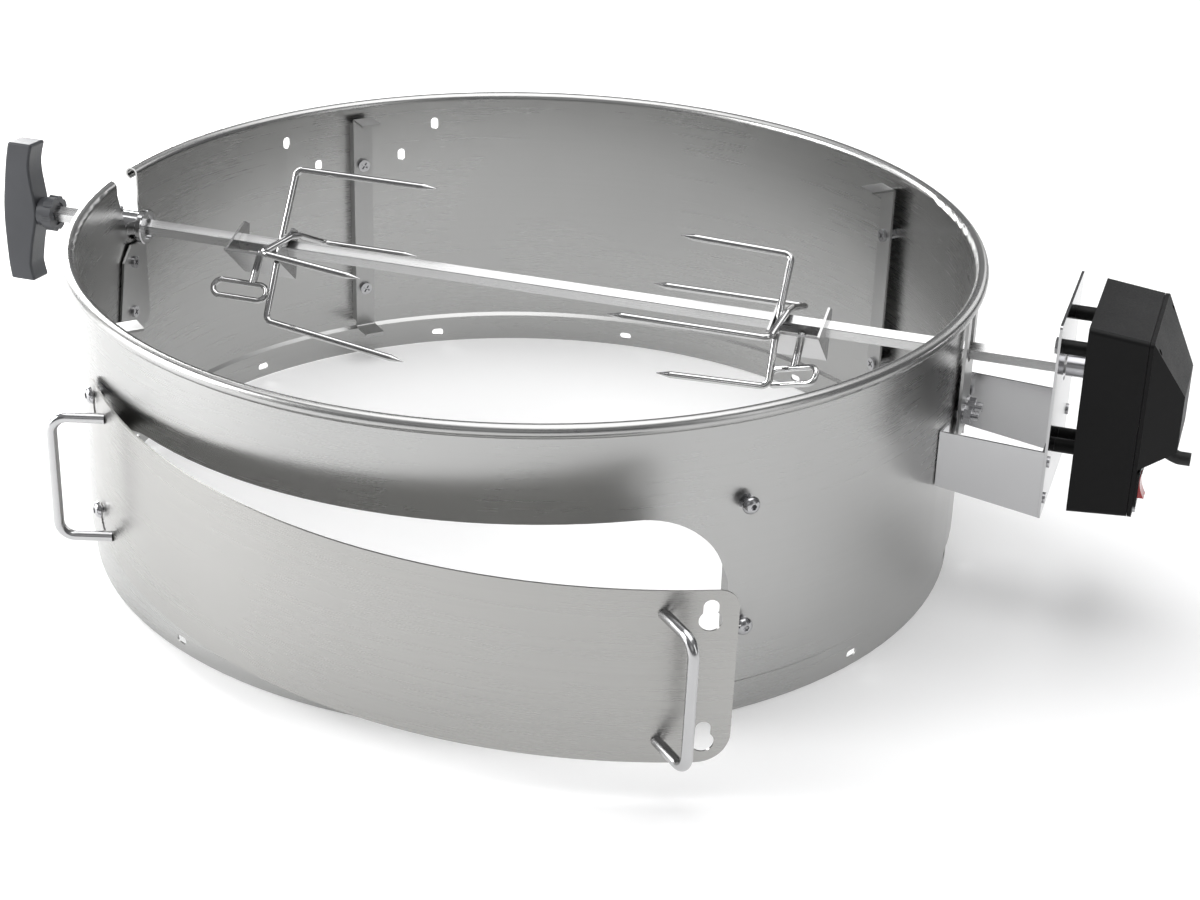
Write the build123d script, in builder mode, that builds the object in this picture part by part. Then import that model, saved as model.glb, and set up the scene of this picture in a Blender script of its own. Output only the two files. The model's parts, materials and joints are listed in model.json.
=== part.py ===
from build123d import *
import math
import os

# ---------------------------------------------------------------------------
# Kettle-grill rotisserie ring: all sizes in millimetres.
# Origin: ring axis at the bottom edge of the ring. +Z up, +X along the spit
# towards the motor, -Y is the side with the door.
# ---------------------------------------------------------------------------

# ring
R_OUT = 282.3            # outer radius of the wall
T_WALL = 1.2             # sheet thickness
R_IN = R_OUT - T_WALL
H_RING = 195.4           # overall height, top of the rolled rim
R_BEAD = 4.2             # outer radius of the rolled rim
BEAD_C = R_IN + R_BEAD   # radius of the rim roll's centre
BEAD_Z = H_RING - R_BEAD
R_BAND = 280.2           # stepped-in spigot that drops inside the bowl
H_BAND = 18.6
BAND_SLOT_Z = 8.0

# spit
Z_SPIT = 158.6
SPIT_A = 7.8             # across the flats
SPIT_ROLL = 24.0         # direction of the spit's corners from vertical
SPIT_X0 = -355.3
SPIT_X1 = 354.7

# door
STUD_Z = 98.2            # middle of a pair of studs
STUD_DZ = 38.15          # half the spacing of a pair
TH_R = -45.2             # right pair of studs
TH_L = -133.7            # left pair
R_DOOR = 346.0           # outer radius of the door sheet
T_DOOR = 1.1
S_DOOR = 442.8           # arc between the two keyhole lines
DOOR_E_L = 15.0          # sheet beyond the left keyholes
DOOR_E_R = 15.0
DOOR_TOP = 51.5
DOOR_BOT = -56.5
DOOR_REF_Z = 93.7
DOOR_YAW = -5.26
DOOR_TILT = -2.55
DOOR_LEAN = 0.45
R_DOOR_SEAT = 286.0      # radius of the door's outer face at the left studs
KEY_BIG_Z = 33.0         # centre of the keyhole's large circle
KEY_SEAT = 8.7           # from the large circle up to the slot's end centre

# motor mount and motor
ARM_Y = 46.75
PLATE_X = 341.7
PLATE_T = 1.6
HOUS_X0 = 357.8
HOUS_X1 = 392.9
HOUS_Y = 43.5
HOUS_Z0 = 82.5
HOUS_Z1 = 201.5
FRONT_Y = 42.7           # the housing narrows towards the front
FRONT_Z0 = 85.0
FRONT_Z1 = 197.5
COVER_X0 = 393.2
COVER_XF = 395.7
COVER_TIP = 416.0

os.makedirs("parts", exist_ok=True)


def rad(a):
    return math.radians(a)


def polar(r, th, z=0.0):
    return (r * math.cos(rad(th)), r * math.sin(rad(th)), z)


def wall_plane(th, z, r):
    """Plane facing outwards at a point of the wall: local x runs along the wall, local y is up."""
    return Plane(origin=polar(r, th, z), x_dir=(-math.sin(rad(th)), math.cos(rad(th)), 0),
                 z_dir=(math.cos(rad(th)), math.sin(rad(th)), 0))


def radial_section(th):
    """Vertical plane through the axis: local x is the radius, local y is up."""
    return Plane(origin=(0, 0, 0), x_dir=(math.cos(rad(th)), math.sin(rad(th)), 0),
                 z_dir=(math.sin(rad(th)), -math.cos(rad(th)), 0))


def yz_plane(x):
    """Plane across the spit at x: local x is +Y, local y is +Z, origin on the ring axis height zero."""
    return Plane(origin=(x, 0, 0), x_dir=(0, 1, 0), z_dir=(1, 0, 0))


def spit_plane(x, roll=0.0):
    """Plane across the spit, centred on it; local y points roll degrees from vertical towards +Y."""
    return Plane(origin=(x, 0, Z_SPIT), x_dir=(0, math.cos(rad(roll)), -math.sin(rad(roll))), z_dir=(1, 0, 0))


def finish(builder, name):
    builder.part.label = name
    export_step(builder.part, "parts/" + name + ".step")


# ---------------------------------------------------------------------------
# Ring shell: rolled rim, wall, stepped spigot band, window, notch and holes
# ---------------------------------------------------------------------------
a_end = -75.0            # where the roll stops, clear of the wall


def bead_pt(r, a):
    return (BEAD_C + r * math.cos(rad(a)), BEAD_Z + r * math.sin(rad(a)))


POST_REAR = (135.7, 45.4)
POST_Z = (150.7, 54.0)
SMALL_SLOTS = ((147.6, 174.5), (123.8, 174.5), (142.3, 152.6), (129.0, 152.6))
WIN_TOP, WIN_BOT = 134.0, 40.0
WIN_MID = (TH_R + TH_L) / 2
WIN_HALF = 42.6
WIN_S = R_OUT * rad(WIN_HALF)


def win_xz(s, z):
    return (R_OUT * math.sin(s / R_OUT), z)


RIVET_TH = 8.0
RIVET_Z = (95.0, 109.0)
GUIDE_Y, GUIDE_Z = 6.8, 119.0

with BuildPart() as ring_shell:
    with BuildSketch(Plane.XZ):
        with BuildLine():
            Polyline((R_BAND - T_WALL, 0), (R_BAND, 0), (R_BAND, H_BAND), (R_OUT, H_BAND + 2.2), (R_OUT, BEAD_Z))
            ThreePointArc((R_OUT, BEAD_Z), bead_pt(R_BEAD - T_WALL, 27.5), bead_pt(R_BEAD - T_WALL, a_end))
            Line(bead_pt(R_BEAD - T_WALL, a_end), bead_pt(R_BEAD, a_end))
            ThreePointArc(bead_pt(R_BEAD, a_end), bead_pt(R_BEAD, 27.5), (R_IN, BEAD_Z))
            Polyline((R_IN, BEAD_Z), (R_IN, H_BAND + 2.7), (R_BAND - T_WALL, H_BAND + 0.5), (R_BAND - T_WALL, 0))
        make_face()
    revolve(axis=Axis.Z)
    # front window, drawn on the unrolled wall and carried to the front plane
    with BuildSketch(Plane(origin=(0, 0, 0), x_dir=(-math.sin(rad(WIN_MID)), math.cos(rad(WIN_MID)), 0),
                           z_dir=(math.cos(rad(WIN_MID)), math.sin(rad(WIN_MID)), 0))):
        with BuildLine():
            rt, rb = 56.0, 30.0
            for sg in (1, -1):
                top = [win_xz(sg * (WIN_S - rt + rt * math.sin(rad(a))), WIN_TOP - rt + rt * math.cos(rad(a)))
                       for a in (0, 15, 30, 45, 60, 75, 90)]
                bot = [win_xz(sg * (WIN_S - rb + rb * math.cos(rad(a))), WIN_BOT + rb - rb * math.sin(rad(a)))
                       for a in (0, 22.5, 45, 67.5, 90)]
                Spline(*top, tangents=((sg, 0), (0, -1)))
                Line(top[-1], bot[0])
                Spline(*bot, tangents=((0, -1), (-sg, 0)))
            Line(win_xz(-(WIN_S - rt), WIN_TOP), win_xz(WIN_S - rt, WIN_TOP))
            Line(win_xz(-(WIN_S - rb), WIN_BOT), win_xz(WIN_S - rb, WIN_BOT))
        make_face()
    extrude(amount=320, mode=Mode.SUBTRACT)
    # open-topped notch for the spit's bushing
    with BuildSketch(yz_plane(-300)):
        with BuildLine():
            Polyline((-9.5, Z_SPIT), (-14.0, 172), (-19.0, 186), (-19.0, 200), (9.5, 200), (9.5, Z_SPIT))
            ThreePointArc((9.5, Z_SPIT), (0, Z_SPIT - 9.5), (-9.5, Z_SPIT))
        make_face()
    extrude(amount=40, mode=Mode.SUBTRACT)
    # round hole for the spit on the motor side
    with BuildSketch(yz_plane(270)):
        with Locations((0, Z_SPIT)):
            Circle(11.0)
    extrude(amount=20, mode=Mode.SUBTRACT)
    # grate-post screw holes, and the four small slots between them
    for th in POST_REAR:
        for z in POST_Z:
            with BuildSketch(wall_plane(th, z, R_OUT - 6)):
                Circle(2.7)
            extrude(amount=10, mode=Mode.SUBTRACT)
    for th, z in SMALL_SLOTS:
        with BuildSketch(wall_plane(th, z, R_OUT - 6)):
            SlotOverall(8.6, 5.4, rotation=90)
        extrude(amount=10, mode=Mode.SUBTRACT)
    # door-stud holes
    for th in (TH_R, TH_L):
        for sg in (1, -1):
            with BuildSketch(wall_plane(th, STUD_Z + sg * STUD_DZ, R_OUT - 6)):
                Circle(3.25)
            extrude(amount=10, mode=Mode.SUBTRACT)
    # slots around the spigot band
    for k in range(12):
        with BuildSketch(wall_plane(3.5 + 30 * k, BAND_SLOT_Z, R_BAND - 6)):
            SlotOverall(8.6, 4.6)
        extrude(amount=10, mode=Mode.SUBTRACT)
    # screw holes of the bushing rest plate
    for y, z in ((-8.0, 135.5), (-12.0, 101.0)):
        with BuildSketch(yz_plane(-295)):
            with Locations((y, z)):
                Circle(2.2)
        extrude(amount=20, mode=Mode.SUBTRACT)
    # motor-side holes: arm rivets and guide-plate bolts
    for sg in (1, -1):
        for z in RIVET_Z:
            with BuildSketch(wall_plane(sg * RIVET_TH, z, R_OUT - 6)):
                Circle(2.1)
            extrude(amount=10, mode=Mode.SUBTRACT)
        with BuildSketch(yz_plane(272)):
            with Locations((sg * GUIDE_Y, GUIDE_Z)):
                Circle(3.1)
        extrude(amount=15, mode=Mode.SUBTRACT)
finish(ring_shell, "ring_shell")

# ---------------------------------------------------------------------------
# Grate posts: vertical strips with a tab bent inwards at each end
# ---------------------------------------------------------------------------
POST_R = R_IN - 6.6       # wall side of the post's face
POST_T = 1.5
POST_W = 7.2             # half the face's width
for name, th, zs, hole, leg, zt in (("grate_post_rear_left", POST_REAR[0], POST_Z, 2.6, 1, 186.5),
                                ("grate_post_rear_right", POST_REAR[1], POST_Z, 2.6, 1, 186.5),
                                ("grate_post_front_left", TH_L, (STUD_Z + STUD_DZ, STUD_Z - STUD_DZ), 3.1, -1, 176.0),
                                ("grate_post_front_right", TH_R, (STUD_Z + STUD_DZ, STUD_Z - STUD_DZ), 3.1, -1, 176.0)):
    with BuildPart() as post:
        with BuildSketch(radial_section(th)):
            with BuildLine():
                FilletPolyline((POST_R - 19, zt), (POST_R, zt), (POST_R, 22.5), (POST_R - 19, 22.5), radius=2.6)
                FilletPolyline((POST_R - 19, zt - POST_T), (POST_R - POST_T, zt - POST_T),
                               (POST_R - POST_T, 22.5 + POST_T), (POST_R - 19, 22.5 + POST_T), radius=1.1)
                Line((POST_R - 19, zt), (POST_R - 19, zt - POST_T))
                Line((POST_R - 19, 22.5), (POST_R - 19, 22.5 + POST_T))
            make_face()
        extrude(amount=POST_W, both=True)
        # side leg bent back to the wall
        with BuildSketch(wall_plane(th, (27.5 + zt - 5) / 2, POST_R - POST_T)):
            with Locations((leg * (POST_W - POST_T / 2), 0)):
                Rectangle(POST_T, zt - 32.5)
        extrude(amount=POST_T + 6.2)
        for z in zs:
            with BuildSketch(wall_plane(th, z, POST_R - 6)):
                Circle(hole)
            extrude(amount=10, mode=Mode.SUBTRACT)
    finish(post, name)

# spacer sleeves between the posts and the wall
with BuildPart() as sleeves:
    for th, zs, bore in ((POST_REAR[0], POST_Z, 2.6), (POST_REAR[1], POST_Z, 2.6),
                         (TH_L, (STUD_Z + STUD_DZ, STUD_Z - STUD_DZ), 3.1),
                         (TH_R, (STUD_Z + STUD_DZ, STUD_Z - STUD_DZ), 3.1)):
        for z in zs:
            with BuildSketch(wall_plane(th, z, POST_R + 0.05)):
                Circle(4.2)
                Circle(bore, mode=Mode.SUBTRACT)
            extrude(amount=R_IN - POST_R - 0.15)
finish(sleeves, "post_sleeves")

# pan-head screws from inside and their nuts outside (rear posts)
with BuildPart() as post_screws:
    for th in POST_REAR:
        for z in POST_Z:
            with BuildSketch(wall_plane(th, z, POST_R - POST_T - 2.4)):
                Circle(4.4)
            extrude(amount=2.35)
            with BuildSketch(wall_plane(th, z, POST_R - POST_T - 0.1)):
                Circle(2.5)
            extrude(amount=R_OUT + 5.2 - POST_R + POST_T)
            with BuildSketch(wall_plane(th, z, POST_R - POST_T - 2.5)):
                Rectangle(5.4, 1.0, rotation=35)
                Rectangle(1.0, 5.4, rotation=35)
            extrude(amount=1.2, mode=Mode.SUBTRACT)
finish(post_screws, "grate_post_screws")

with BuildPart() as post_nuts:
    for th in POST_REAR:
        for z in POST_Z:
            with BuildSketch(wall_plane(th, z, R_OUT + 0.05)):
                RegularPolygon(4.6, 6)
                Circle(2.6, mode=Mode.SUBTRACT)
            extrude(amount=3.6)
finish(post_nuts, "grate_post_nuts")

# ---------------------------------------------------------------------------
# Door studs: shouldered button-head screws, nuts inside
# ---------------------------------------------------------------------------
STUD_HEAD_R = 287.9
with BuildPart() as studs:
    for th in (TH_R, TH_L):
        for sg in (1, -1):
            z = STUD_Z + sg * STUD_DZ
            with BuildSketch(wall_plane(th, z, R_OUT - 14.4)):
                Circle(3.0)
            extrude(amount=15.3)
            with BuildSketch(wall_plane(th, z, R_OUT)):
                Circle(2.0)
            extrude(amount=STUD_HEAD_R - R_OUT + 0.2)
            with BuildSketch(wall_plane(th, z, R_OUT + 0.06)):
                Circle(4.7)
            extrude(amount=0.9)
            # button head
            p = radial_section(th)
            with BuildSketch(p):
                with BuildLine():
                    Line((STUD_HEAD_R, z), (STUD_HEAD_R, z + 5.3))
                    Line((STUD_HEAD_R, z + 5.3), (STUD_HEAD_R + 0.7, z + 5.3))
                    ThreePointArc((STUD_HEAD_R + 0.7, z + 5.3), (STUD_HEAD_R + 2.55, z + 4.1), (STUD_HEAD_R + 3.3, z + 2.4))
                    Line((STUD_HEAD_R + 3.3, z + 2.4), (STUD_HEAD_R + 3.3, z))
                    Line((STUD_HEAD_R + 3.3, z), (STUD_HEAD_R, z))
                make_face()
            revolve(axis=Axis(polar(0, th, z), (math.cos(rad(th)), math.sin(rad(th)), 0)))
            with BuildSketch(wall_plane(th, z, STUD_HEAD_R + 1.3)):
                RegularPolygon(2.0, 6)
            extrude(amount=4, mode=Mode.SUBTRACT)
finish(studs, "door_studs")

with BuildPart() as stud_nuts:
    for th in (TH_R, TH_L):
        for sg in (1, -1):
            with BuildSketch(wall_plane(th, STUD_Z + sg * STUD_DZ, POST_R - POST_T - 4.1)):
                RegularPolygon(5.6, 6)
                Circle(3.1, mode=Mode.SUBTRACT)
            extrude(amount=4.0)
finish(stud_nuts, "door_stud_nuts")

# ---------------------------------------------------------------------------
# Door: curved sheet hooked on the left pair of studs, its free end swung out
# ---------------------------------------------------------------------------
n_l = Vector(math.cos(rad(TH_L)), math.sin(rad(TH_L)), 0)
t_l = Vector(-math.sin(rad(TH_L)), math.cos(rad(TH_L)), 0)


def door_dir(v):
    """Door-local direction to row direction: lean about the left tangent, tilt about the left radial axis, then yaw."""
    v = Vector(*v).rotate(Axis((0, 0, 0), t_l), DOOR_LEAN)
    v = v.rotate(Axis((0, 0, 0), n_l), DOOR_TILT)
    return v.rotate(Axis.Z, DOOR_YAW)


door_origin = Vector(*polar(R_DOOR_SEAT, TH_L, DOOR_REF_Z)) - door_dir(polar(R_DOOR, TH_L, 0))


def door_pt(r, ang, z):
    return door_origin + door_dir(polar(r, ang, z))


def door_face_plane(ang, z, r):
    return Plane(origin=door_pt(r, ang, z), x_dir=door_dir((-math.sin(rad(ang)), math.cos(rad(ang)), 0)),
                 z_dir=door_dir((math.cos(rad(ang)), math.sin(rad(ang)), 0)))


def door_ang(s):
    return TH_L + math.degrees(s / R_DOOR)


door_plane = Plane(origin=door_origin, x_dir=door_dir((1, 0, 0)), z_dir=door_dir((0, 0, 1)))
A0, A1 = door_ang(-DOOR_E_L), door_ang(S_DOOR + DOOR_E_R)
AM = (A0 + A1) / 2

with BuildPart() as door_panel:
    with BuildSketch(door_plane.offset(DOOR_BOT)):
        with BuildLine():
            ThreePointArc(polar(R_DOOR, A0)[:2], polar(R_DOOR, AM)[:2], polar(R_DOOR, A1)[:2])
            Line(polar(R_DOOR, A1)[:2], polar(R_DOOR - T_DOOR, A1)[:2])
            ThreePointArc(polar(R_DOOR - T_DOOR, A1)[:2], polar(R_DOOR - T_DOOR, AM)[:2], polar(R_DOOR - T_DOOR, A0)[:2])
            Line(polar(R_DOOR - T_DOOR, A0)[:2], polar(R_DOOR, A0)[:2])
        make_face()
    extrude(amount=DOOR_TOP - DOOR_BOT)
    corners = [e for e in door_panel.edges() if e.length < 1.3]
    fillet([e for e in corners if e.center().Z > DOOR_REF_Z - 10], radius=11)
    fillet([e for e in door_panel.edges() if e.length < 1.3 and e.center().Z < DOOR_REF_Z - 25
            and abs(e.tangent_at(0.5).Z) < 0.3], radius=18)
    for s in (0.0, S_DOOR):
        for zk in (KEY_BIG_Z, KEY_BIG_Z - 2 * STUD_DZ):
            with BuildSketch(door_face_plane(door_ang(s), zk, R_DOOR - 6)):
                Circle(6.3)
                with Locations((0, KEY_SEAT / 2)):
                    Rectangle(8.4, KEY_SEAT)
                with Locations((0, KEY_SEAT)):
                    Circle(4.2)
            extrude(amount=10, mode=Mode.SUBTRACT)
finish(door_panel, "door_panel")

WIRE_R = 3.175
for name, s, side in (("door_handle_left", 21.0, -1), ("door_handle_right", S_DOOR - 24.7, 1)):
    ang = door_ang(s)
    n = door_dir((math.cos(rad(ang)), math.sin(rad(ang)), 0))
    t = door_dir((-math.sin(rad(ang)), math.cos(rad(ang)), 0))
    f1 = door_pt(R_DOOR - 0.4, ang, 37.7)
    f2 = door_pt(R_DOOR - 0.4, ang, -42.3)
    out = n * 28.2 + t * (14.0 * side)
    with BuildPart() as handle:
        with BuildLine() as hpath:
            FilletPolyline(f1, f1 + out, f2 + out, f2, radius=9.5)
        with BuildSketch(Plane(origin=hpath.line @ 0, z_dir=hpath.line % 0)):
            Circle(WIRE_R)
        sweep(path=hpath.line)
    finish(handle, name)

# ---------------------------------------------------------------------------
# Bushing rest plate inside the wall below the notch, and its screws
# ---------------------------------------------------------------------------
REST_SCREWS = ((-8.0, 135.5), (-12.0, 101.0))
with BuildPart() as rest_plate:
    with BuildSketch(yz_plane(-279.2)):
        with BuildLine():
            Polyline((10.5, 147.8), (-9.5, 147.8), (-20.5, 138.5), (-30.0, 96))
            ThreePointArc((-30.0, 96), (-28.6, 89.6), (-23, 87))
            Line((-23, 87), (4, 87))
            ThreePointArc((4, 87), (8.8, 89.2), (10.5, 94))
            Line((10.5, 94), (10.5, 147.8))
        make_face()
        with Locations((0, Z_SPIT)):
            Circle(12.6, mode=Mode.SUBTRACT)
        with Locations(*REST_SCREWS):
            Circle(2.2, mode=Mode.SUBTRACT)
    extrude(amount=1.5)
finish(rest_plate, "bushing_rest_plate")

with BuildPart() as rest_screws:
    for y, z in REST_SCREWS:
        with BuildSketch(yz_plane(-277.65)):
            with Locations((y, z)):
                Circle(4.0)
        extrude(amount=2.2)
        with BuildSketch(yz_plane(-286.7)):
            with Locations((y, z)):
                Circle(2.0)
        extrude(amount=9.2)
        with BuildSketch(yz_plane(-276.5)):
            with Locations((y, z)):
                Rectangle(4.8, 0.9, rotation=20)
                Rectangle(0.9, 4.8, rotation=20)
        extrude(amount=2, mode=Mode.SUBTRACT)
finish(rest_screws, "rest_plate_screws")

with BuildPart() as rest_nuts:
    for y, z in REST_SCREWS:
        with BuildSketch(yz_plane(-282.4 - 3.2)):
            with Locations((y, z)):
                RegularPolygon(4.0, 6)
                Circle(2.1, mode=Mode.SUBTRACT)
        extrude(amount=3.1)
finish(rest_nuts, "rest_plate_nuts")

# ---------------------------------------------------------------------------
# Spit rod, bushing with its set screw, T-handle and ferrule
# ---------------------------------------------------------------------------
with BuildPart() as spit_rod:
    with BuildSketch(spit_plane(SPIT_X0, SPIT_ROLL + 45)):
        Rectangle(SPIT_A, SPIT_A)
    extrude(amount=SPIT_X1 - SPIT_X0)
    chamfer(spit_rod.edges().filter_by(Axis.X), length=0.35)
finish(spit_rod, "spit_rod")

with BuildPart() as bushing:
    for x0, x1, r in ((-295.5, -293.9, 11.0), (-294.1, -272.8, 9.45), (-273.0, -269.5, 11.8)):
        with BuildSketch(spit_plane(x0)):
            Circle(r)
        extrude(amount=x1 - x0)
    chamfer(bushing.faces().sort_by(Axis.X)[-1].edges().sort_by(SortBy.LENGTH)[-1], length=0.7)
    # shallow groove turned beside the inner flange
    with BuildSketch(spit_plane(-275.1)):
        Circle(12)
        Circle(9.0, mode=Mode.SUBTRACT)
    extrude(amount=1.4, mode=Mode.SUBTRACT)
    with BuildSketch(spit_plane(-302.5, SPIT_ROLL + 45)):
        Rectangle(SPIT_A + 0.1, SPIT_A + 0.1)
    extrude(amount=40, mode=Mode.SUBTRACT)
    # counterbore in the inner face
    with BuildSketch(spit_plane(-271.1)):
        Circle(8.2)
    extrude(amount=3, mode=Mode.SUBTRACT)
    with BuildSketch(Plane(origin=(-290.8, 0, Z_SPIT + 3), z_dir=(0, 0, 1))):
        Circle(2.1)
    extrude(amount=12, mode=Mode.SUBTRACT)
finish(bushing, "spit_bushing")

with BuildPart() as set_screw:
    with BuildSketch(Plane(origin=(-290.8, 0, Z_SPIT + 5.7), z_dir=(0, 0, 1))):
        Circle(2.0)
    extrude(amount=4.2)
    with BuildSketch(Plane(origin=(-290.8, 0, Z_SPIT + 9.6), z_dir=(0, 0, 1))):
        Circle(2.9)
    extrude(amount=2.0)
    fillet(set_screw.edges().sort_by(Axis.Z)[-1], radius=0.7)
    with BuildSketch(Plane(origin=(-290.8, 0, Z_SPIT + 10.8), z_dir=(0, 0, 1))):
        Rectangle(8, 0.9)
    extrude(amount=2, mode=Mode.SUBTRACT)
finish(set_screw, "bushing_set_screw")

KN_ROLL = 5.3
with BuildPart() as grip:
    # side outline in a plane through the spit, extruded to the grip's width
    side_plane = Plane(origin=(0, 0, Z_SPIT), x_dir=(1, 0, 0),
                       z_dir=(0, -math.cos(rad(KN_ROLL)), math.sin(rad(KN_ROLL))))
    with BuildSketch(side_plane):
        with BuildLine():
            Spline((-369.2, 47.5), (-372.5, 24), (-373.9, 0), (-372.5, -24), (-369.2, -47.5),
                   tangents=((-0.25, -1), (0.25, -1)))
            Spline((-351.0, 47.5), (-353.8, 33), (-352.2, 20), (-349.3, 0), (-352.2, -20),
                   (-353.8, -33), (-351.0, -47.5), tangents=((-0.3, -1), (0.3, -1)))
            Line((-369.2, 47.5), (-351.0, 47.5))
            Line((-369.2, -47.5), (-351.0, -47.5))
        make_face()
    extrude(amount=9.3, both=True)
    fillet(grip.edges(), radius=1.6)
    with BuildSketch(spit_plane(-356.0, SPIT_ROLL + 45)):
        Rectangle(SPIT_A + 0.1, SPIT_A + 0.1)
    extrude(amount=20, mode=Mode.SUBTRACT)
finish(grip, "handle_grip")

with BuildPart() as ferrule:
    with BuildSketch(spit_plane(-349.1)):
        Circle(9.6)
    extrude(amount=5.4)
    with BuildSketch(spit_plane(-343.9)):
        Circle(12.0)
        with PolarLocations(13.2, 8):
            Circle(2.3, mode=Mode.SUBTRACT)
    extrude(amount=6.6)
    with BuildSketch(spit_plane(-357, SPIT_ROLL + 45)):
        Rectangle(SPIT_A + 0.1, SPIT_A + 0.1)
    extrude(amount=40, mode=Mode.SUBTRACT)
    with BuildSketch(spit_plane(-338.5)):
        Circle(7.6)
    extrude(amount=3, mode=Mode.SUBTRACT)
finish(ferrule, "handle_ferrule")

# ---------------------------------------------------------------------------
# Forks: channel bracket, two U-bent prong wires, wire-loop thumbscrew
# ---------------------------------------------------------------------------
PRONG_R = 2.2
SCREW_R = 2.6
WEB_A = 221.5            # direction of the web's normal from vertical, towards +Y
WEB_N = (math.sin(rad(WEB_A)), math.cos(rad(WEB_A)))          # (Y, Z)
WEB_V = (math.cos(rad(WEB_A)), -math.sin(rad(WEB_A)))
WEB_D = 14.1             # outer face of the web from the spit's axis
JOG = 8.0                # half the length of a wire's jog past the spit
TIP_L = 9.0              # length of a sharpened point
PLATE_PTS = ((-23.5, 2), (6, 12.2), (12.5, 8), (7, -25))       # (Y, Z) about the spit


def nv(n, v):
    return (WEB_N[0] * n + WEB_V[0] * v, WEB_N[1] * n + WEB_V[1] * v)


def riser_pts(prongs):
    """Lower riser of a U-bent wire: from the end of the jog past the spit to the prong's root."""
    root1, _, root2, _, side = prongs
    dy, dz = root1[0] - root2[0], root1[1] - root2[1]
    ln = math.hypot(dy, dz)
    dy, dz = dy / ln, dz / ln
    off = 8.3 * side
    return (-dy * JOG + dz * off, -dz * JOG - dy * off), root2


def pronged_wire(x_root, x_tip, root1, tip1, root2, tip2, side):
    """One U-bent wire: prong, riser, jog past the spit, riser, prong. (Y, Z) about the spit."""
    sx = 1 if x_tip > x_root else -1
    dy, dz = root1[0] - root2[0], root1[1] - root2[1]
    ln = math.hypot(dy, dz)
    dy, dz = dy / ln, dz / ln
    off = 8.3 * side
    py, pz = dz * off, -dy * off
    m1 = (dy * JOG + py, dz * JOG + pz)
    m2 = (-dy * JOG + py, -dz * JOG + pz)
    xe = x_tip - sx * TIP_L
    pts = [(xe, *tip1), (x_root, *root1), (x_root, *m1), (x_root, *m2), (x_root, *root2), (xe, *tip2)]
    pts = [(a, b, c + Z_SPIT) for a, b, c in pts]
    with BuildPart() as wire:
        with BuildLine() as wpath:
            FilletPolyline(*pts, radius=5.0)
        with BuildSketch(Plane(origin=wpath.line @ 0, z_dir=wpath.line % 0)):
            Circle(PRONG_R)
        sweep(path=wpath.line)
        for u, sg in ((0, -1), (1, 1)):
            d = (wpath.line % u) * sg
            with BuildSketch(Plane(origin=wpath.line @ u, z_dir=d)):
                Circle(PRONG_R)
            extrude(amount=TIP_L, taper=12.2)
    return wire


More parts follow.
